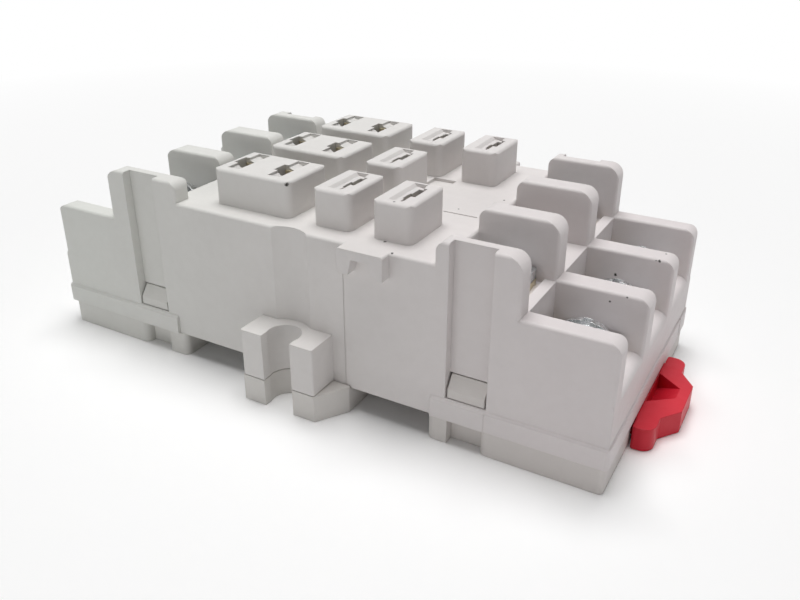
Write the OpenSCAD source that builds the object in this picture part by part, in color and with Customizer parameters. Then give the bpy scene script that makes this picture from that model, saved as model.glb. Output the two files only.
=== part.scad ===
// Eleven-blade relay socket for a 35 mm rail or a panel. An upper housing with raised blade
// blocks and two tiers of terminal bays snaps over a base with a fixed rail hook; a sliding
// clip closes on the other edge of the rail. Each blade contact ends under a wire clamp and
// its screw. Millimetres, +Z up. The origin is the middle of the housing on the mounting
// plane; the clip is on the +X side and the rail runs along Y.

/* [Poles] */
// Spacing of the three pole rows
pole_pitch = 11.6; // [11.3:0.1:12.6]
// Thickness of the two inner barrier walls
barrier_wall = 3.1; // [2.6:0.1:3.3]
// Thickness of the two outer side walls
side_wall = 2.65; // [2.4:0.05:3.2]

/* [Tiers] */
// Length of the deck that the relay plugs into
deck_l = 39.2; // [38.8:0.2:44]
// Length of an upper terminal bay
upper_bay_l = 8.5; // [8.1:0.1:10]
// Thickness of the cross wall between the tiers
tier_wall = 1.4; // [1.2:0.1:2]
// Length of a lower terminal bay
lower_bay_l = 10.8; // [10.2:0.1:13]

/* [Heights] */
// Height of the feet, up to the split between base and upper housing
foot_h = 3.3; // [3.2:0.05:4.6]
// Lower terminal floor above the split
lower_floor_h = 8.35; // [8.05:0.05:10]
// Upper terminal floor above the lower one
upper_floor_h = 5.95; // [5.6:0.05:8]
// Deck above the upper terminal floor
deck_h = 4.9; // [4.4:0.1:6]
// Blade blocks above the deck
block_h = 4.7; // [4:0.1:6]
// Lower barrier walls above their floor
lower_barrier_h = 6.7; // [5.4:0.1:7.5]
// Upper barrier walls above their floor
upper_barrier_h = 7.65; // [6:0.05:9]
// Cross wall above the upper floor
tier_lip_h = 0.55; // [0.3:0.05:1]

/* [Moulding] */
// Skin of the hollow mouldings
skin = 1.5; // [1.3:0.1:1.8]
// Radius of the outer top corners of the upper barrier walls
corner_r = 2; // [1:0.1:3]
// Radius of the outer top corners of the lower barrier walls
lower_corner_r = 1.5; // [1:0.1:3]
// Radius of the inner top corners of the upper barrier walls
inner_corner_r = 1.2; // [0.6:0.1:2]
// Rounding of the long moulded edges
edge_r = 0.4; // [0.2:0.05:0.6]
// Rounding of the outer edge of the lower floors
floor_edge_r = 1.2; // [0.5:0.1:1.3]
// How far the near left upper wall runs on over the deck
near_wall_over = 2.1; // [0:0.1:4]
// Height of the rim around each end
rim_h = 2.65; // [2.2:0.05:3.2]
// How far the rim stands proud of the side walls
rim_proud = 0.4; // [0.2:0.05:0.8]
// How far the rim stands proud of the end walls
rim_end = 0.2; // [0.15:0.05:0.4]
// Start of the rim from the middle of the housing
rim_x = 19.4; // [19:0.1:20.4]

/* [Blade blocks] */
// Blade slot of the normally closed contacts, from the middle of the housing
nc_x = -10.45; // [-10.7:0.05:-10.2]
// Blade slot of the normally open contacts
no_x = -4.2; // [-4.5:0.05:-3.9]
// Blade slot of the common contacts
com_x = 4.75; // [4.5:0.05:5.1]
// Blade slot of the coil contacts
coil_x = 12.9; // [12.6:0.05:13.2]
// Depth of a blade block along the rail
block_w = 8.1; // [7.7:0.1:8.4]
// Block material to the left of a single slot
block_left = 3; // [2.8:0.1:3.4]
// Block material to the right of a single slot
block_right = 2.2; // [1.8:0.1:2.5]
// Block material to the left of the first slot of a double block
double_left = 2.75; // [2.65:0.05:3.1]
// Block material to the right of the second slot of a double block
double_right = 2.55; // [2:0.05:2.8]
// Thickness of the top of a blade block
block_top = 1.6; // [1.4:0.1:2]
// Length of the lead-in pocket over a blade slot
pocket_l = 6.3; // [5.9:0.1:6.6]
// Rounding of the upright corners of a blade block
block_r = 0.9; // [0.5:0.1:1.2]

/* [Contacts] */
// Width of the blade that a contact takes
blade_w = 4.75; // [4.5:0.05:4.9]
// Thickness of the blade that a contact takes
blade_t = 0.5; // [0.4:0.05:0.6]
// Thickness of the contact strip
strip_t = 0.8; // [0.6:0.05:1]
// Width of the contact strip inside the housing
strip_w = 5; // [4:0.1:5.4]
// Sheet thickness of the rolled blade receptacle
sheet_t = 0.4; // [0.3:0.05:0.45]
// Radius of the rolled edges of the receptacle
curl_r = 0.8; // [0.7:0.05:0.85]

/* [Terminals] */
// Screw thread diameter
screw_d = 3.5; // [3:0.1:3.8]
// Screw head diameter
head_d = 6; // [5.6:0.1:7]
// Screw head height
head_h = 2.4; // [2.2:0.1:2.8]
// Screw length under the head
screw_l = 6; // [5.2:0.1:6.2]
// Wire clamp plate length
clamp_l = 7; // [6.6:0.1:7.4]
// Wire clamp plate thickness
clamp_t = 1.2; // [1:0.1:1.4]
// Gap between a wire clamp and the bay walls
clamp_gap = 0.45; // [0.35:0.05:0.7]
// Centre of a lower terminal from the cross wall
lower_term_in = 4.9; // [4.6:0.1:5.2]

/* [Base and rail] */
// Thickness of the base plate inside the housing
plate_t = 1.25; // [1:0.05:1.5]
// Width of the rail that the socket snaps on
rail_w = 35; // [34.8:0.1:35.2]
// Thickness of the rail edge
rail_t = 1; // [0.9:0.1:1.2]
// How far a hook reaches over the rail edge
hook_reach = 1.5; // [1:0.1:1.8]
// Length of the rail channel between the feet
channel_l = 37.3; // [36.9:0.1:38.3]
// Middle of the rail channel from the middle of the housing
channel_x = 0.35; // [0.1:0.05:0.6]
// Start of the latch notch from the middle of the housing
latch_x = 21.2; // [21:0.1:22]
// Length of the latch notch
latch_l = 5.1; // [4.4:0.1:5.6]
// Depth of the notches in the long sides of the feet
notch_in = 1.3; // [0.8:0.1:2]
// Depth of the latch groove in the side wall
groove_t = 1.2; // [0.8:0.1:1.4]
// Height of the latch window
latch_h = 2.9; // [2.5:0.1:3.4]

/* [Panel lugs] */
// Centre of the lugs from the middle of the housing
lug_x = 0.6; // [0.2:0.1:1]
// Radius of the screw seat in a lug
lug_r = 2.2; // [2.1:0.1:2.4]
// Width of the mouth of a lug
lug_mouth = 4.2; // [3.6:0.1:4.2]
// Width of a lug across both arms
lug_w = 10.6; // [9.8:0.1:11]
// How far a lug stands out of the side wall
lug_out = 4.4; // [4:0.1:5]
// Height of the upper half of a lug
lug_h = 6.7; // [5:0.05:8]

/* [Spring anchors] */
// Width of the anchor for the relay's hold-down spring
anchor_w = 6.05; // [5.5:0.05:7]
// Left side of the anchor from the middle of the housing
anchor_x = 7.8; // [7:0.1:9]
// Height of the anchor
anchor_h = 3.05; // [2.6:0.05:4]
// How far the anchor stands out of the side wall
anchor_out = 1.5; // [1:0.1:2]

/* [Rail clip] */
// Thickness of the clip
clip_t = 2.95; // [2.75:0.05:3.05]
// Width of the clip's pull tab
tab_w = 18; // [16:0.5:20]
// Length of the clip's pull tab
tab_l = 4.35; // [4:0.05:6]
// Width of the clip between the feet
clip_w = 14; // [12:0.5:15]
// Travel of the clip
clip_travel = 2.8; // [2:0.1:3]
// Gap around the clip
clip_gap = 0.25; // [0.2:0.05:0.35]

/* [Hidden] */
$fn = 48;
eps = 0.01;
// gap between pieces that turn or slide on each other
seat_gap = 0.05;
// gap between a moulding and the metal or moulding set into it
set_gap = 0.1;

bay_w = pole_pitch - barrier_wall;
half_w = 1.5 * bay_w + barrier_wall + side_wall;
deck_x = deck_l / 2;
cross_x = deck_x + upper_bay_l;
tier_x = cross_x + tier_wall;
half_l = tier_x + lower_bay_l;

lower_z = foot_h + lower_floor_h;
upper_z = lower_z + upper_floor_h;
deck_z = upper_z + deck_h;
block_z = deck_z + block_h;
lower_top = lower_z + lower_barrier_h;
upper_top = upper_z + upper_barrier_h;
rim_z = foot_h + rim_h;
plate_z = foot_h + plate_t;

lower_term_x = tier_x + lower_term_in;
upper_term_x = deck_x + upper_bay_l / 2;
thread_r = screw_d / 2;
bore_r = thread_r + seat_gap;
collar_r = thread_r + 0.8;
collar_h = 1;
clamp_w = bay_w - 2 * clamp_gap;
term_plate_w = clamp_w - 0.6;

// receptacle outline measured from the blade's middle plane
back_in = blade_t / 2 + 0.05;
back_out = back_in + sheet_t;
curl_out = back_in + 2 * curl_r;
socket_w = blade_w + 0.85;
curl_in = socket_w / 2 - 2 * curl_r;
cavity_gap = 0.15;
socket_top = block_z - block_top - 0.2;
// slot for a blade and the holes beside it, from the top of a block into the cavity
slot_r = blade_t / 2 + 0.2;
slot_l = blade_w + 0.6;
probe_z = block_z - block_top - 0.2;

channel_x0 = channel_x - channel_l / 2;
channel_x1 = channel_x + channel_l / 2;
rail_x0 = channel_x - rail_w / 2;
rail_x1 = channel_x + rail_w / 2;
clip_z = 0.05;
clip_top = clip_z + clip_t;
clip_nose_x = rail_x1 - hook_reach;
tab_x = half_l + rim_end + 0.05;
lip_h = foot_h - rail_t - 0.25;

window_z = rim_z + 0.1;
window_top = window_z + latch_h;

// long sides of the feet, and their ends on the left and on the right
foot_y = half_w + 0.2;
foot_x0 = -half_l + 0.6;
foot_x1 = half_l - 0.05;
foot_r = 0.9;
// web of a lug under the plate
web_in = 6;
web_out = 2.5;
// split between the halves of a lug, outside the wall
lug_split = foot_h + 0.4;
// guide tongues along the clip and the grooves they run in
tongue_w = 0.8;
tongue_z = clip_z + 1;
tongue_t = 1;

// name, side (-1 left, 1 right), upper tier, row (-1 near, 0 middle, 1 far), blade slot
TERMINALS = [
    ["nc_near", -1, true, -1, nc_x],
    ["nc_middle", -1, true, 0, nc_x],
    ["nc_far", -1, true, 1, nc_x],
    ["no_near", -1, false, -1, no_x],
    ["no_middle", -1, false, 0, no_x],
    ["no_far", -1, false, 1, no_x],
    ["com_near", 1, false, -1, com_x],
    ["com_middle", 1, false, 0, com_x],
    ["com_far", 1, false, 1, com_x],
    ["coil_near", 1, true, -1, coil_x],
    ["coil_far", 1, true, 1, coil_x],
];

function side(t) = t[1];
function is_upper(t) = t[2];
function row_y(t) = t[3] * pole_pitch;
function slot_x(t) = t[4];
function floor_z(t) = is_upper(t) ? upper_z : lower_z;
function term_x(t) = is_upper(t) ? upper_term_x : lower_term_x;
function wall_x(t) = is_upper(t) ? deck_x : tier_x;
function clamp_z(t) = floor_z(t) + strip_t + seat_gap;
function head_z(t) = clamp_z(t) + clamp_t + seat_gap;

// ---- extrusions along each axis, from one coordinate to the other ----

module along_x(x0, x1) {
    rotate([90, 0, 90])
        translate([0, 0, x0])
            linear_extrude(x1 - x0)
                children();
}

module along_y(y0, y1) {
    rotate([90, 0, 0])
        translate([0, 0, -y1])
            linear_extrude(y1 - y0)
                children();
}

module along_z(z0, z1) {
    translate([0, 0, z0])
        linear_extrude(z1 - z0)
            children();
}

module box(x0, x1, y0, y1, z0, z1) {
    translate([min(x0, x1), y0, z0])
        cube([abs(x1 - x0), y1 - y0, z1 - z0]);
}

// what a corner loses when it is rounded; the corner points along (dx, dy)
module spandrel(x, y, r, dx, dy) {
    translate([x, y])
        scale([dx, dy])
            difference() {
                translate([-r, -r])
                    square(r + eps);
                translate([-r, -r])
                    circle(r);
            }
}

// rectangle with its own radius at each corner: lower left, lower right, upper right, upper left
module soft_rect(x0, y0, x1, y1, r) {
    difference() {
        translate([x0, y0])
            square([x1 - x0, y1 - y0]);
        if (r[0] > 0) spandrel(x0, y0, r[0], -1, -1);
        if (r[1] > 0) spandrel(x1, y0, r[1], 1, -1);
        if (r[2] > 0) spandrel(x1, y1, r[2], 1, 1);
        if (r[3] > 0) spandrel(x0, y1, r[3], -1, 1);
    }
}

module both_ends() {
    children();
    mirror([1, 0, 0])
        children();
}

module both_sides() {
    children();
    mirror([0, 1, 0])
        children();
}

// ---- upper housing ----

// barrier wall across a bay, with rounded top corners and softened edges
module barrier(x0, x1, y0, y1, z0, z1, r_in, r_out) {
    intersection() {
        along_y(y0, y1)
            soft_rect(x0, z0, x1, z1, [0, 0, r_out, r_in]);
        along_x(x0, x1)
            soft_rect(y0, z0, y1, z1, [0, 0, edge_r, edge_r]);
        along_z(z0, z1)
            soft_rect(x0, y0, x1, y1, [0, edge_r, edge_r, 0]);
    }
}

// the four walls of one end: two side walls and the two barriers between the bays
module end_walls() {
    for (m = [-1.5, -0.5, 0.5, 1.5]) {
        t = abs(m) > 1 ? side_wall : barrier_wall;
        mid = abs(m) > 1 ? sign(m) * (half_w - side_wall / 2) : m * pole_pitch;
        barrier(tier_x - 2, half_l, mid - t / 2, mid + t / 2, lower_z - 2, lower_top, 0,
            lower_corner_r);
        barrier(deck_x, tier_x, mid - t / 2, mid + t / 2, upper_z - 2, upper_top,
            inner_corner_r, corner_r);
    }
}

// the solid steps under the walls: lower floors, cross walls, upper floors and deck
module tiers() {
    along_y(-half_w, half_w)
        soft_rect(-half_l, foot_h, half_l, lower_z, [0, 0, floor_edge_r, floor_edge_r]);
    box(-tier_x, tier_x, -half_w, half_w, lower_z - 2, upper_z);
    both_ends()
        box(cross_x, tier_x, -half_w + eps, half_w - eps, upper_z - eps, upper_z + tier_lip_h);
    // blank middle bay beside the coil terminals
    box(deck_x - eps, tier_x, -bay_w / 2 - eps, bay_w / 2 + eps, upper_z - eps,
        upper_z + tier_lip_h);
    intersection() {
        along_y(-half_w, half_w)
            soft_rect(-deck_x, upper_z - 2, deck_x, deck_z, [0, 0, edge_r, edge_r]);
        along_x(-deck_x, deck_x)
            soft_rect(-half_w, upper_z - 2, half_w, deck_z, [0, 0, edge_r, edge_r]);
    }
}

// rim around one end, just above the split; it thins out a little past the latches
module rim(end_r) {
    y1 = half_w + rim_proud;
    x1 = half_l + rim_end;
    step_x = latch_x + latch_l - 0.1;
    step_y = 0.08;
    intersection() {
        along_z(foot_h, rim_z)
            difference() {
                soft_rect(rim_x, -y1, x1, y1, [0, end_r, end_r, 0]);
                for (m = [-1, 1])
                    translate([step_x, m * y1 - step_y])
                        square([x1, 2 * step_y]);
            }
        along_x(rim_x, x1)
            polygon([
                [-y1, foot_h],
                [y1, foot_h],
                [y1, rim_z - 0.3],
                [half_w, rim_z],
                [-half_w, rim_z],
                [-y1, rim_z - 0.3],
            ]);
    }
}

// raised block that guides a blade, with soft edges
module blade_block(x0, x1, y) {
    y0 = y - block_w / 2;
    y1 = y + block_w / 2;
    intersection() {
        along_z(deck_z - 1, block_z)
            soft_rect(x0, y0, x1, y1, [block_r, block_r, block_r - 0.3, block_r - 0.3]);
        along_x(x0, x1)
            soft_rect(y0, deck_z - 1, y1, block_z, [0, 0, edge_r, edge_r]);
        along_y(y0, y1)
            soft_rect(x0, deck_z - 1, x1, block_z, [0, 0, edge_r, edge_r]);
    }
}

// room for the rolled receptacle inside a block
module blade_cavity(x, y) {
    box(x - curl_out - cavity_gap, x + back_out + cavity_gap,
        y - socket_w / 2 - cavity_gap, y + socket_w / 2 + cavity_gap,
        deck_z - skin - 1, block_z - block_top);
}

// sunken floor of a lead-in pocket: rises from the slot at depth d1 to its left edge at depth d0
module pocket_floor(x, left, right, y0, y1, d0, d1) {
    along_y(y0, y1)
        polygon([
            [x - left, block_z + 1],
            [x - left, block_z - d0],
            [x - slot_r, block_z - d1],
            [x + right, block_z - d1],
            [x + right, block_z + 1],
        ]);
}

// pocket, slot and probe hole over a receptacle of a double block
module double_entry(x, y) {
    y0 = y - pocket_l / 2 + 0.3;
    mid = y + 0.3;
    pocket_floor(x, 1.35, slot_r, y0, mid, 0.3, 0.9);
    pocket_floor(x, 1.35, slot_r, mid - eps, y0 + pocket_l, 0.3, 0.6);
    blade_slot(x, y);
    box(x - 2, x + slot_r, y - 0.8, y + curl_in + 0.25, probe_z, block_z + 1);
}

// pocket, slot and probe hole over the receptacle of a single block
module single_entry(x, y) {
    y0 = y - pocket_l / 2 + 0.2;
    pocket_floor(x, 1.05, slot_r - 0.1, y0, y0 + pocket_l, 0.35, 0.45);
    along_y(y0, y0 + pocket_l)
        polygon([
            [x - 1.45, block_z + eps],
            [x - 1.04, block_z - 0.35],
            [x - 1.04, block_z + eps],
        ]);
    blade_slot(x, y);
    box(x - 0.65, x + 0.95, y - 1, y + 0.9, probe_z, block_z + 1);
    box(x, x + 0.95, y + 0.9 - eps, y + 2.1, block_z - 0.5, block_z + 1);
}

module blade_slot(x, y) {
    box(x - slot_r, x + slot_r, y - slot_l / 2, y + slot_l / 2, probe_z, block_z);
}

module blade_blocks() {
    for (row = [-1, 0, 1]) {
        blade_block(nc_x - double_left, no_x + double_right, row * pole_pitch);
        blade_block(com_x - block_left, com_x + block_right, row * pole_pitch);
    }
    for (row = [-1, 1])
        blade_block(coil_x - block_left, coil_x + block_right, row * pole_pitch);
}

module blade_openings() {
    for (t = TERMINALS) {
        blade_cavity(slot_x(t), row_y(t));
        if (slot_x(t) < 0)
            double_entry(slot_x(t), row_y(t));
        else
            single_entry(slot_x(t), row_y(t));
    }
}

// hollow under one pole row, open towards the base
module chamber(y) {
    w = bay_w / 2;
    box(-half_l + skin, half_l - skin, y - w, y + w, foot_h - 1, lower_z - skin);
    box(-cross_x, cross_x, y - w, y + w, foot_h - 1, upper_z - skin);
    box(-deck_x + skin, deck_x - skin, y - w, y + w, foot_h - 1, deck_z - skin);
}

// passage of a contact strip through its wall, and room under the terminal for the screw
module terminal_openings(t) {
    y = row_y(t);
    z = floor_z(t);
    box(side(t) * (wall_x(t) - 3), side(t) * (wall_x(t) + 0.5),
        y - strip_w / 2 - set_gap, y + strip_w / 2 + set_gap, z, z + strip_t + set_gap);
    translate([side(t) * term_x(t), y, z - skin - 1])
        cylinder(r = collar_r + 0.3, h = skin + 2);
}

// groove and window for one latch of the base
module latch_opening() {
    along_z(window_z, upper_top + 1)
        translate([latch_x, half_w - groove_t])
            square([latch_l, groove_t + 1]);
    box(latch_x, latch_x + latch_l, half_w - side_wall - 1, half_w + 1, window_z, window_top);
}

// outline of a panel lug in plan, standing on the near side wall
module lug_plan(w) {
    difference() {
        soft_rect(lug_x - w / 2, -half_w - lug_out, lug_x + w / 2, -half_w + 1,
            [0.3, 0.3, 0, 0]);
        lug_opening();
    }
}

module lug_opening() {
    translate([lug_x, -half_w - lug_r - 0.4])
        circle(lug_r);
    translate([lug_x - lug_mouth / 2, -half_w - lug_out - 1])
        square([lug_mouth, lug_out - lug_r + 0.6]);
}

// scoop that clears the head of the panel screw above a lug
module lug_scoop() {
    scoop_r = 4.3;
    translate([lug_x - 0.4, -half_w - scoop_r + 0.85, foot_h + lug_h])
        cylinder(r = scoop_r, h = deck_z);
}

// anchor for the relay's hold-down spring, with a flared notch between its legs
module spring_anchor() {
    x1 = anchor_x + anchor_w;
    mid = anchor_x + anchor_w / 2;
    along_y(-half_w - anchor_out, -half_w + 1)
        difference() {
            soft_rect(anchor_x, deck_z - anchor_h, x1, deck_z, [0.15, 0.15, 0.3, 0.3]);
            polygon([
                [mid - 1.5, deck_z - anchor_h - 1],
                [mid + 1.5, deck_z - anchor_h - 1],
                [mid + 1.5, deck_z - anchor_h],
                [mid + 1.03, deck_z - 1.15],
                [mid - 1.03, deck_z - 1.15],
                [mid - 1.5, deck_z - anchor_h],
            ]);
        }
}

// shallow marks: core recess and parting line in the deck, slit in the far right end of the rim
// and parting line down the near wall from the anchor
module moulding_marks() {
    mid = pole_pitch / 2;
    box(com_x + 1.55, com_x + 4.85, mid - 1.5, mid + 1.5, deck_z - 0.4, deck_z + 1);
    box(coil_x + 0.3, deck_x - 1.8, -bay_w / 2 + 0.35, -bay_w / 2 + 0.55, deck_z - 0.15,
        deck_z + 1);
    box(half_l - 0.5, half_l + 1, half_w - 4.2, half_w - 3.7, foot_h - 1, rim_z);
    box(anchor_x - 0.12, anchor_x, -half_w - 1, -half_w + 0.06, foot_h - 1, deck_z - anchor_h);
}

module upper_housing() {
    color([0.82, 0.81, 0.80])
        difference() {
            union() {
                tiers();
                both_ends()
                    end_walls();
                barrier(-deck_x - inner_corner_r - 1, -deck_x + near_wall_over, -half_w,
                    -half_w + side_wall, upper_z, upper_top, 0, inner_corner_r);
                rim(0.7);
                mirror([1, 0, 0])
                    rim(0.3);
                blade_blocks();
                both_sides() {
                    along_z(lug_split, foot_h + lug_h)
                        lug_plan(lug_w);
                    spring_anchor();
                }
            }
            for (row = [-1, 0, 1])
                chamber(row * pole_pitch);
            box(-half_l + skin, half_l - skin, -half_w + side_wall, half_w - side_wall,
                foot_h - 1, plate_z + set_gap);
            for (t = TERMINALS)
                terminal_openings(t);
            blade_openings();
            both_ends()
                both_sides()
                    latch_opening();
            both_sides()
                lug_scoop();
            moulding_marks();
        }
}

// ---- base ----

// footprint of the feet at one end, with a notch under the latch in each long side
module foot_plan(x0, x1, notch_x, end_r) {
    notch_end = latch_x + latch_l - 0.6;
    difference() {
        soft_rect(x0, -foot_y, x1, foot_y, [foot_r, end_r, end_r, foot_r]);
        for (m = [-1, 1]) {
            translate([notch_x, m * foot_y - notch_in])
                square([notch_end - notch_x, 2 * notch_in]);
            spandrel(notch_end, m * foot_y, foot_r, -1, m);
        }
    }
}

// hollows that keep the feet at an even thickness, open downwards
module foot_hollows(x0, x1) {
    y1 = foot_y - notch_in - skin;
    y0 = clip_w / 2 + clip_gap + 1.1 + skin;
    both_sides() {
        box(x0 + skin, x1 - skin, y0, y1, -1, foot_h - skin);
    }
}

// latch tongue that rises from the base plate and snaps out through its window
module latch_tongue() {
    y_in = half_w - side_wall - set_gap;
    along_x(latch_x + 0.25, latch_x + latch_l - 0.25)
        polygon([
            [y_in - 1.2, plate_z - 0.5],
            [y_in, plate_z - 0.5],
            [y_in, window_z + 0.1],
            [half_w - 0.1, window_z + 0.1],
            [half_w - 0.1, window_z + 1.2],
            [half_w - groove_t, window_top - 0.15],
            [y_in - 1.2, window_top - 0.15],
        ]);
}

// channel for the clip: full width between the feet, with a groove in each wall
module clip_channel() {
    w = clip_w / 2 + clip_gap;
    box(channel_x1 - 1, half_l + 1, -w, w, -1, foot_h);
    box(channel_x1 - 1, half_l + 1, -w - tongue_w, w + tongue_w, tongue_z - clip_gap,
        tongue_z + tongue_t + clip_gap);
}

// fixed lip that takes the rail edge opposite the clip
module fixed_hook() {
    tip_x = rail_x0 + hook_reach;
    along_y(-6, 6)
        polygon([
            [channel_x0 - 0.5, 0],
            [tip_x - 0.8, 0],
            [tip_x, 0.8],
            [tip_x, lip_h],
            [channel_x0 - 0.5, lip_h],
        ]);
}

// lower half of a panel lug: slanted side, step up outside the wall, and web under the plate
module base_lug() {
    x0 = lug_x - lug_w / 2;
    x1 = lug_x + lug_w / 2;
    difference() {
        union() {
            along_z(0, foot_h - set_gap)
                base_lug_plan(x0, x1, -half_w + web_in);
            along_z(foot_h - 1, lug_split - set_gap)
                base_lug_plan(x0, x1, -half_w - set_gap);
        }
        along_z(-1, foot_h + 2)
            lug_opening();
    }
    box(x0, x1 + web_out, -half_w + side_wall + set_gap, -half_w + web_in, foot_h - 0.5,
        plate_z - 0.2);
}

module base_lug_plan(x0, x1, y1) {
    polygon([
        [x0, y1],
        [x0, -half_w - lug_out],
        [x1, -half_w - lug_out],
        [x1 + web_out, -half_w - 0.45],
        [x1 + web_out, y1],
    ]);
}

module base_housing() {
    x1 = half_l - skin - set_gap;
    y1 = half_w - side_wall - set_gap;
    color([0.78, 0.77, 0.75]) {
        difference() {
            union() {
                box(-x1, x1, -y1, y1, foot_h, plate_z);
                along_z(0, foot_h) {
                    foot_plan(channel_x1, foot_x1, latch_x + 0.4, 0.6);
                    mirror([1, 0, 0])
                        foot_plan(-channel_x0, -foot_x0, latch_x + 0.05, 0.3);
                }
                both_ends()
                    both_sides()
                        latch_tongue();
                fixed_hook();
                both_sides()
                    base_lug();
            }
            foot_hollows(channel_x1, foot_x1);
            mirror([1, 0, 0])
                foot_hollows(-channel_x0, -foot_x0);
            box(foot_x0 + skin, channel_x0 - skin, -5, 5, -1, foot_h - skin);
            clip_channel();
        }
        box(clip_stop_x, clip_stop_x + clip_stop_l, -clip_stop_w / 2, clip_stop_w / 2,
            clip_z + 0.4, foot_h + 0.2);
    }
}

// ---- rail clip ----

clip_stop_x = channel_x1 + 9;
clip_stop_l = 1.8;
clip_stop_w = 4;

// outline of the clip in plan: nose, body between the feet, and pull tab with two round lobes
module clip_plan() {
    lobe_x = tab_x + tab_l * 0.56;
    polygon([
        [clip_nose_x, -clip_w / 2 + 1],
        [channel_x1 + 2, -clip_w / 2],
        [tab_x + 1, -clip_w / 2],
        [tab_x + 1, clip_w / 2],
        [channel_x1 + 2, clip_w / 2],
        [clip_nose_x, clip_w / 2 - 1],
    ]);
    soft_rect(tab_x, -tab_w / 2, lobe_x, tab_w / 2, [0.4, 1.5, 1.5, 0.4]);
    polygon([
        [tab_x + 1, -tab_w / 2 + 3.3],
        [lobe_x, -tab_w / 2 + 3.3],
        [tab_x + tab_l, -tab_w / 2 + 5.9],
        [tab_x + tab_l, tab_w / 2 - 5.9],
        [lobe_x, tab_w / 2 - 3.3],
        [tab_x + 1, tab_w / 2 - 3.3],
    ]);
}

// screwdriver recess in the tab: widest at the housing, with a floor that slopes up to its end
module clip_recess() {
    x1 = tab_x + tab_l * 0.7;
    mid = 0.6;
    floor_z = clip_z + 0.8;
    intersection() {
        along_z(floor_z, clip_top + 1)
            polygon([
                [tab_x, mid - 3.6],
                [x1, mid - 1.2],
                [x1, mid + 1.2],
                [tab_x, mid + 3.6],
            ]);
        along_y(-tab_w, tab_w)
            polygon([
                [tab_x, floor_z],
                [x1, clip_top],
                [x1, clip_top + 1],
                [tab_x, clip_top + 1],
            ]);
    }
}

module rail_clip() {
    stop_gap = 0.3;
    arm_x0 = channel_x1 + 3.6;
    arm_x1 = clip_stop_x + 5;
    arm_w = 1.2;
    arm_slot = 0.8;
    color([0.80, 0.12, 0.18])
        difference() {
            union() {
                along_z(clip_z, clip_top)
                    clip_plan();
                both_sides()
                    box(channel_x1 + 3, tab_x - 1.5, 0, clip_w / 2 + tongue_w, tongue_z,
                        tongue_z + tongue_t);
            }
            // slots that free a spring arm along each side
            both_sides()
                box(arm_x0, arm_x1, clip_w / 2 - arm_w - arm_slot, clip_w / 2 - arm_w, clip_z - 1,
                    clip_top + 1);
            // step that leaves room for the rail edge over the nose
            box(clip_nose_x - 1, channel_x1 - 0.5, -clip_w, clip_w, lip_h, clip_top + 1);
            // lead-in under the nose
            along_y(-clip_w, clip_w)
                polygon([
                    [clip_nose_x - 1, clip_z - 1],
                    [clip_nose_x + 1.8, clip_z - 1],
                    [clip_nose_x + 0.9, clip_z],
                    [clip_nose_x, clip_z + 0.9],
                    [clip_nose_x - 1, clip_z + 0.9],
                ]);
            // window that the stop of the base stands in
            box(clip_stop_x - clip_travel - stop_gap, clip_stop_x + clip_stop_l + stop_gap,
                -clip_stop_w / 2 - clip_gap, clip_stop_w / 2 + clip_gap, clip_z - 1, clip_top + 1);
            clip_recess();
        }
}

// ---- contacts ----

// rolled receptacle in plan, measured from the blade's middle plane
module receptacle_plan() {
    translate([back_in, -socket_w / 2])
        square([sheet_t, socket_w]);
    for (m = [-1, 1]) {
        translate([-back_in - curl_r, m * (socket_w / 2 - sheet_t / 2) - sheet_t / 2])
            square([back_out + back_in + curl_r, sheet_t]);
        translate([-back_in - curl_r, m * (socket_w / 2 - curl_r)])
            difference() {
                circle(curl_r);
                circle(curl_r - sheet_t);
            }
    }
}

// tab on the far roll of a receptacle, which a test probe meets just inside its hole
module probe_tab(x) {
    mid = x - back_in - curl_r;
    box(mid - 0.6, mid + 0.6, curl_in - 0.1, curl_in + 0.15, socket_top - 1, block_z - 0.6);
}

module contact(t) {
    x = slot_x(t);
    y = row_y(t);
    z = floor_z(t);
    s = side(t);
    seat_z = upper_z;
    plate_x = s * (term_x(t) + clamp_l / 2);
    color([0.80, 0.72, 0.50])
        translate([0, y, 0])
            difference() {
                union() {
                    translate([x, 0, 0])
                        along_z(seat_z + strip_t / 2, socket_top)
                            receptacle_plan();
                    if (slot_x(t) < 0)
                        probe_tab(x);
                    box(x - curl_out, x + back_out, -strip_w / 2, strip_w / 2, seat_z,
                        seat_z + strip_t);
                    if (!is_upper(t))
                        box(x + back_out - strip_t, x + back_out, -strip_w / 2, strip_w / 2, z,
                            seat_z + strip_t / 2);
                    box(x + back_out - (s < 0 ? 0 : strip_t), plate_x, -strip_w / 2, strip_w / 2,
                        z, z + strip_t);
                    box(s * (wall_x(t) + 0.3), plate_x, -term_plate_w / 2, term_plate_w / 2,
                        z + eps, z + strip_t);
                    translate([s * term_x(t), 0, z - collar_h])
                        cylinder(r = collar_r, h = collar_h + strip_t / 2);
                }
                translate([s * term_x(t), 0, z - collar_h - 1])
                    cylinder(r = bore_r, h = collar_h + strip_t + 2);
            }
}

// ---- terminals ----

// clamp plate with grooves that grip the wires on its underside
module wire_clamp(t) {
    rib = 0.25;
    color([0.78, 0.79, 0.80])
        translate([side(t) * term_x(t), row_y(t), clamp_z(t)])
            difference() {
                along_z(0, clamp_t)
                    soft_rect(-clamp_l / 2, -clamp_w / 2, clamp_l / 2, clamp_w / 2,
                        [1, 1, 1, 1] * 0.5);
                translate([0, 0, -1])
                    cylinder(r = thread_r + 0.2, h = clamp_t + 2);
                for (m = [-1, 1])
                    for (k = [0, 1])
                        box(-clamp_l, clamp_l, m * (2.5 + k * 0.7) - 0.15,
                            m * (2.5 + k * 0.7) + 0.15, -1, rib);
            }
}

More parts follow.
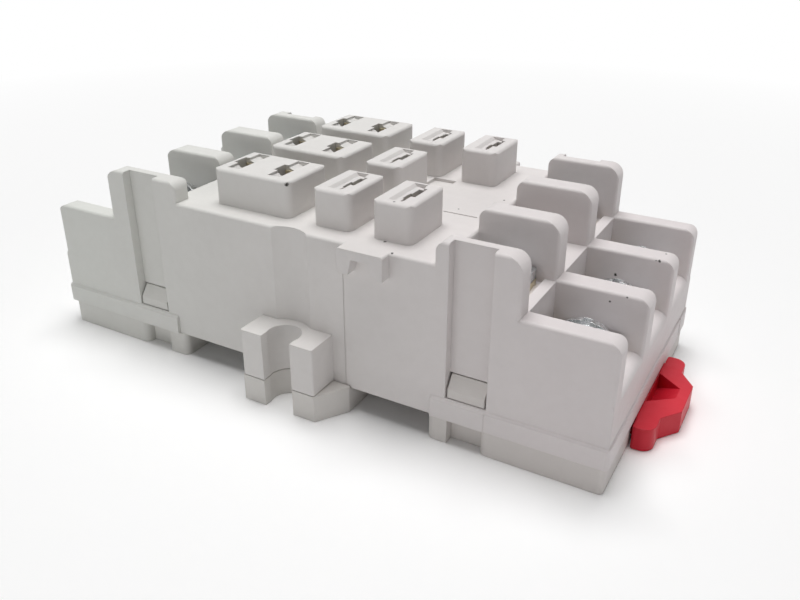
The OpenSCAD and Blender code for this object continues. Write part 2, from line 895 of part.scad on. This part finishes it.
// screw with a domed head, a slot crossed by a short second one, and a chamfered tip
module screw(t) {
    slot_w = 1;
    slot_d = 1.2;
    r = head_d / 2;
    color([0.80, 0.81, 0.83])
        translate([side(t) * term_x(t), row_y(t), head_z(t)])
            difference() {
                rotate_extrude()
                    polygon([
                        [0, -screw_l],
                        [thread_r - 0.5, -screw_l],
                        [thread_r, -screw_l + 0.5],
                        [thread_r, 0],
                        [r, 0],
                        [r, head_h * 0.33],
                        [r * 0.95, head_h * 0.52],
                        [r * 0.82, head_h * 0.71],
                        [r * 0.6, head_h * 0.875],
                        [r * 0.32, head_h * 0.97],
                        [0, head_h],
                    ]);
                box(-head_d, head_d, -slot_w / 2, slot_w / 2, head_h - slot_d, head_h + 1);
                box(-slot_w / 2, slot_w / 2, -r * 0.6, r * 0.6, head_h - slot_d, head_h + 1);
            }
}

upper_housing();
base_housing();
rail_clip();
for (t = TERMINALS)
    contact(t);
for (t = TERMINALS)
    wire_clamp(t);
for (t = TERMINALS)
    screw(t);
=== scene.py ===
"""Relay socket: materials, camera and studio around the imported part.

The solids carry every visible form, so the nodes only get procedural materials here. Lengths are
in metres, except where a name or a comment says millimetres.
"""

import math

import bpy
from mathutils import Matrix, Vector

CAMERA_PLACE = (0.054956, -0.089065, 0.058495)
CAMERA_TURN_DEG = (64.669, -0.164, 29.433)
SENSOR_WIDTH_MM = 36
LENS_MM = 36.553
LENS_SHIFT_Y = -0.0307
CLIP_START = 0.001
CLIP_END = 20

# name, place, target, width and height, watts
LAMPS = [
    ("key", (-0.03, 0.05, 0.60), (0, 0, 0.01), (0.36, 0.36), 3.25),
    ("front_low", (-0.10, -0.62, 0.08), (0, 0, 0.015), (0.5, 0.14), 0.46),
    ("side_low", (0.62, -0.06, 0.07), (0, 0, 0.015), (0.3, 0.12), 0.30),
]
WORLD_LIGHT = 0.12

FLOOR_SIZE = 6.0
FLOOR_DROP = 0.00002
FLOOR_COLOUR = (0.90, 0.90, 0.90, 1.0)
# distances from the middle between which the floor turns plain white
FLOOR_FADE = (0.08, 0.22)
WHITE = (1.0, 1.0, 1.0, 1.0)

# sRGB colours at the left and the right end of a moulding
UPPER_GREY = ((221, 222, 217), (224, 217, 217))
BASE_GREY = ((218, 218, 213), (217, 211, 208))
CLIP_RED = ((205, 33, 52), (205, 33, 52))
DRIFT_REACH = 0.035
PLASTIC_EDGE = 0.00015
METAL_EDGE = 0.00008
BEVEL_SAMPLES = 6
GRAIN_HEIGHT = 0.00002
CLOUD_TINT = (0.93, 0.93, 0.93, 1.0)
FLOW_TINT = (0.95, 0.945, 0.94, 1.0)
# painted highlight: multiplier that makes the rounded plastic edges paler
EDGE_HIGHLIGHT_TINT = (1.07, 1.06, 1.05, 1.0)
SPECK_COLOUR = (0.05, 0.045, 0.04, 1.0)

# dark specks in the upper moulding: centre and radius, in millimetres
SPECKS = [
    ((-1.95, -15.5, 26.82), 0.30),
    ((12.56, -15.06, 27.2), 0.16),
    ((14.5, -2.2, 22.5), 0.15),
    ((18.2, 3.6, 22.5), 0.18),
    ((11.8, -15.85, 22.5), 0.2),
    ((14.1, -18.2, 22.45), 0.18),
    ((38.4, 4.2, 18.2), 0.26),
    ((38.0, 4.2, 18.2), 0.16),
    ((38.7, 6.4, 18.35), 0.15),
    ((37.65, -7.4, 18.2), 0.18),
    ((33.4, 4.25, 15.2), 0.22),
    ((35.84, -7.35, 17.2), 0.15),
]

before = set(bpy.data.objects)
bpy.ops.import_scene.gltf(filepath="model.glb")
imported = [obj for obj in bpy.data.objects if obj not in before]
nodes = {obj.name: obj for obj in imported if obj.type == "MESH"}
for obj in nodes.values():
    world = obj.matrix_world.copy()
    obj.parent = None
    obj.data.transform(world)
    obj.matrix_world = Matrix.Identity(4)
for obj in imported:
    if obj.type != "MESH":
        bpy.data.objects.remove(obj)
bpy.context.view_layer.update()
scene = bpy.context.scene


# ---------------------------------------------------------------- camera

def place_camera():
    data = bpy.data.cameras.new("camera")
    data.sensor_width = SENSOR_WIDTH_MM
    data.lens = LENS_MM
    data.shift_y = LENS_SHIFT_Y
    data.clip_start = CLIP_START
    data.clip_end = CLIP_END
    camera = bpy.data.objects.new("camera", data)
    camera.location = CAMERA_PLACE
    camera.rotation_euler = [math.radians(a) for a in CAMERA_TURN_DEG]
    scene.collection.objects.link(camera)
    return camera


scene.camera = place_camera()
scene.view_settings.view_transform = "Standard"


# ---------------------------------------------------------------- node helpers

def new_material(name):
    mat = bpy.data.materials.new(name)
    mat.use_nodes = True
    tree = mat.node_tree
    return mat, tree, tree.nodes["Principled BSDF"]


def add(tree, kind, **values):
    """New node; each value goes to the input of that name, or else to the node's own setting."""
    node = tree.nodes.new(kind)
    for key, value in values.items():
        if key in node.inputs:
            node.inputs[key].default_value = value
        else:
            setattr(node, key, value)
    return node


def link(tree, a, out, b, into):
    tree.links.new(a.outputs[out], b.inputs[into])


def mix(tree, factor, a, b, blend="MIX"):
    """Colour mix; each of factor, a and b is a socket or a plain value."""
    node = tree.nodes.new("ShaderNodeMix")
    node.data_type = "RGBA"
    node.blend_type = blend
    for socket, value in ((node.inputs[0], factor), (node.inputs[6], a), (node.inputs[7], b)):
        if isinstance(value, bpy.types.NodeSocket):
            tree.links.new(value, socket)
        else:
            socket.default_value = value
    return node.outputs[2]


def ramp(tree, source, low, high, a=0.0, b=1.0):
    """Value that goes from a to b while the source goes from low to high."""
    node = tree.nodes.new("ShaderNodeMapRange")
    node.inputs["From Min"].default_value = low
    node.inputs["From Max"].default_value = high
    node.inputs["To Min"].default_value = a
    node.inputs["To Max"].default_value = b
    tree.links.new(source, node.inputs["Value"])
    return node.outputs["Result"]


def noise(tree, coords, scale, detail=3.0, rough=0.6):
    node = add(tree, "ShaderNodeTexNoise", Scale=scale, Detail=detail, Roughness=rough)
    tree.links.new(coords, node.inputs["Vector"])
    return node.outputs["Fac"]


def object_coords(tree):
    return tree.nodes.new("ShaderNodeTexCoord").outputs["Object"]


def linear(r, g, b):
    """sRGB 0-255 to linear, with alpha."""
    def one(v):
        v /= 255
        return v / 12.92 if v <= 0.04045 else ((v + 0.055) / 1.055) ** 2.4
    return (one(r), one(g), one(b), 1.0)


def metres(point):
    """A point given in millimetres."""
    return tuple(c / 1000 for c in point)


# ---------------------------------------------------------------- materials

def soft_edges(tree, radius):
    """Bevel node whose normal rounds off the edges of the surface."""
    return add(tree, "ShaderNodeBevel", Radius=radius, samples=BEVEL_SAMPLES)


def relief(tree, bsdf, bevel, height, strength):
    """Fine relief from a height value, on top of the softened edges."""
    bump = add(tree, "ShaderNodeBump", Strength=strength, Distance=GRAIN_HEIGHT)
    tree.links.new(height, bump.inputs["Height"])
    link(tree, bevel, "Normal", bump, "Normal")
    link(tree, bump, "Normal", bsdf, "Normal")


def speck_mask(tree, coords, specks):
    """1 inside small ragged specks and 0 elsewhere."""
    ragged = noise(tree, coords, 6000.0, 2.0)
    total = None
    for centre, radius in specks:
        r = radius / 1000
        away = add(tree, "ShaderNodeVectorMath", operation="DISTANCE")
        tree.links.new(coords, away.inputs[0])
        away.inputs[1].default_value = metres(centre)
        spread = add(tree, "ShaderNodeMath", operation="MULTIPLY_ADD")
        tree.links.new(ragged, spread.inputs[0])
        spread.inputs[1].default_value = -1.4 * r
        tree.links.new(away.outputs["Value"], spread.inputs[2])
        mask = ramp(tree, spread.outputs[0], -0.1 * r, 0.35 * r, 1.0, 0.0)
        if total is not None:
            most = add(tree, "ShaderNodeMath", operation="MAXIMUM")
            tree.links.new(total, most.inputs[0])
            tree.links.new(mask, most.inputs[1])
            mask = most.outputs[0]
        total = mask
    return total


def edge_highlight_mask(tree, bevel):
    """Mask for the painted edge highlight: up to 0.6 on the edges that the bevel rounds, 0 on
    flat faces.
    """
    geometry = tree.nodes.new("ShaderNodeNewGeometry")
    turn = add(tree, "ShaderNodeVectorMath", operation="DOT_PRODUCT")
    link(tree, geometry, "Normal", turn, 0)
    link(tree, bevel, "Normal", turn, 1)
    return ramp(tree, turn.outputs["Value"], 0.99, 0.8, 0.0, 0.6)


def moulded(name, greys, rough, specks=()):
    """Injection moulded thermoplastic. Its tone drifts along the part, with faint flow mottling,
    an eroded grain, softened edges made paler as a painted highlight, and a few embedded specks."""
    mat, tree, bsdf = new_material(name)
    coords = object_coords(tree)
    along = add(tree, "ShaderNodeSeparateXYZ")
    tree.links.new(coords, along.inputs[0])
    drift = ramp(tree, along.outputs["X"], -DRIFT_REACH, DRIFT_REACH)
    tone = mix(tree, drift, linear(*greys[0]), linear(*greys[1]))
    cloud = noise(tree, coords, 110.0)
    flow = noise(tree, coords, 900.0)
    grit = noise(tree, coords, 4200.0, 2.0, 0.5)
    tone = mix(tree, ramp(tree, cloud, 0.3, 0.7, 0.0, 0.5), tone, CLOUD_TINT, "MULTIPLY")
    tone = mix(tree, ramp(tree, flow, 0.35, 0.75, 0.0, 0.4), tone, FLOW_TINT, "MULTIPLY")
    bevel = soft_edges(tree, PLASTIC_EDGE)
    # painted highlight: the edges that the bevel rounds are made paler
    tone = mix(tree, edge_highlight_mask(tree, bevel), tone, EDGE_HIGHLIGHT_TINT, "MULTIPLY")
    if specks:
        tone = mix(tree, speck_mask(tree, coords, specks), tone, SPECK_COLOUR)
    tree.links.new(tone, bsdf.inputs["Base Color"])
    sheen = ramp(tree, flow, 0.3, 0.7, rough - 0.05, rough + 0.06)
    tree.links.new(sheen, bsdf.inputs["Roughness"])
    bsdf.inputs["Specular IOR Level"].default_value = 0.3
    relief(tree, bsdf, bevel, grit, 0.35)
    return mat


def plated(name, colour, rough, brush):
    """Zinc or tin plate with a drawn grain, along the axis that brush stretches least, uneven
    brightness and slight dulling."""
    mat, tree, bsdf = new_material(name)
    coords = object_coords(tree)
    mapping = add(tree, "ShaderNodeMapping", Scale=brush)
    tree.links.new(coords, mapping.inputs["Vector"])
    streak = noise(tree, mapping.outputs["Vector"], 700.0)
    cloud = noise(tree, coords, 420.0, 2.0, 0.5)
    red, green, blue = colour
    dull = (red * 0.62, green * 0.62, blue * 0.6, 1.0)
    tone = mix(tree, ramp(tree, cloud, 0.42, 0.72), (red, green, blue, 1.0), dull)
    tree.links.new(tone, bsdf.inputs["Base Color"])
    sheen = ramp(tree, streak, 0.3, 0.7, rough - 0.08, rough + 0.1)
    tree.links.new(sheen, bsdf.inputs["Roughness"])
    bsdf.inputs["Metallic"].default_value = 1.0
    relief(tree, bsdf, soft_edges(tree, METAL_EDGE), streak, 0.25)
    return mat


# material by the start of a node's name
MATERIALS = {
    "upper_housing": moulded("upper_plastic", UPPER_GREY, 0.5, SPECKS),
    "base_housing": moulded("base_plastic", BASE_GREY, 0.52),
    "rail_clip": moulded("clip_plastic", CLIP_RED, 0.42),
    "screw_": plated("zinc_screw", (0.78, 0.79, 0.80), 0.26, (1.0, 1.0, 6.0)),
    "wire_clamp_": plated("zinc_clamp", (0.74, 0.75, 0.77), 0.3, (1.0, 8.0, 1.0)),
    "contact_": plated("tinned_brass", (0.80, 0.72, 0.52), 0.3, (8.0, 1.0, 1.0)),
}

for name, node in nodes.items():
    start = next(s for s in MATERIALS if name.startswith(s))
    node.data.materials.clear()
    node.data.materials.append(MATERIALS[start])


# ---------------------------------------------------------------- studio

def seen_directly(tree):
    """1 for what the camera sees, also in or through shiny and clear surfaces."""
    path = tree.nodes.new("ShaderNodeLightPath")
    both = add(tree, "ShaderNodeMath", operation="ADD")
    link(tree, path, "Is Camera Ray", both, 0)
    link(tree, path, "Is Glossy Ray", both, 1)
    total = add(tree, "ShaderNodeMath", operation="ADD", use_clamp=True)
    link(tree, both, 0, total, 0)
    link(tree, path, "Is Transmission Ray", total, 1)
    return total.outputs[0]


def fade_to_white(tree, paint):
    """Beyond the object's shadow the floor is plain white to the eye."""
    away = add(tree, "ShaderNodeVectorMath", operation="LENGTH")
    tree.links.new(object_coords(tree), away.inputs[0])
    beyond = add(tree, "ShaderNodeMath", operation="MULTIPLY")
    tree.links.new(ramp(tree, away.outputs["Value"], *FLOOR_FADE), beyond.inputs[0])
    tree.links.new(seen_directly(tree), beyond.inputs[1])
    white = add(tree, "ShaderNodeEmission", Strength=1.0)
    blend = add(tree, "ShaderNodeMixShader")
    tree.links.new(beyond.outputs[0], blend.inputs[0])
    link(tree, paint, "BSDF", blend, 1)
    link(tree, white, "Emission", blend, 2)
    link(tree, blend, 0, tree.nodes["Material Output"], "Surface")


def lay_floor():
    bpy.ops.mesh.primitive_plane_add(size=FLOOR_SIZE, location=(0, 0, -FLOOR_DROP))
    floor = bpy.context.object
    floor.name = "floor"
    mat, tree, paint = new_material("floor_paint")
    paint.inputs["Roughness"].default_value = 0.9
    paint.inputs["Specular IOR Level"].default_value = 0.1
    colour = mix(tree, seen_directly(tree), FLOOR_COLOUR, WHITE)
    tree.links.new(colour, paint.inputs["Base Color"])
    fade_to_white(tree, paint)
    floor.data.materials.append(mat)


def light_world():
    """Dim white light all round, which looks plain white itself."""
    world = bpy.data.worlds.new("studio")
    world.use_nodes = True
    tree = world.node_tree
    background = tree.nodes["Background"]
    background.inputs["Color"].default_value = WHITE
    strength = ramp(tree, seen_directly(tree), 0.0, 1.0, WORLD_LIGHT, 1.0)
    tree.links.new(strength, background.inputs["Strength"])
    scene.world = world


def lamp(name, place, target, size, watts):
    data = bpy.data.lights.new(name, "AREA")
    data.shape = "RECTANGLE"
    data.size, data.size_y = size
    data.energy = watts
    obj = bpy.data.objects.new(name, data)
    obj.location = place
    aim = Vector(target) - Vector(place)
    obj.rotation_euler = aim.to_track_quat("-Z", "Y").to_euler()
    scene.collection.objects.link(obj)


lay_floor()
light_world()
for row in LAMPS:
    lamp(*row)
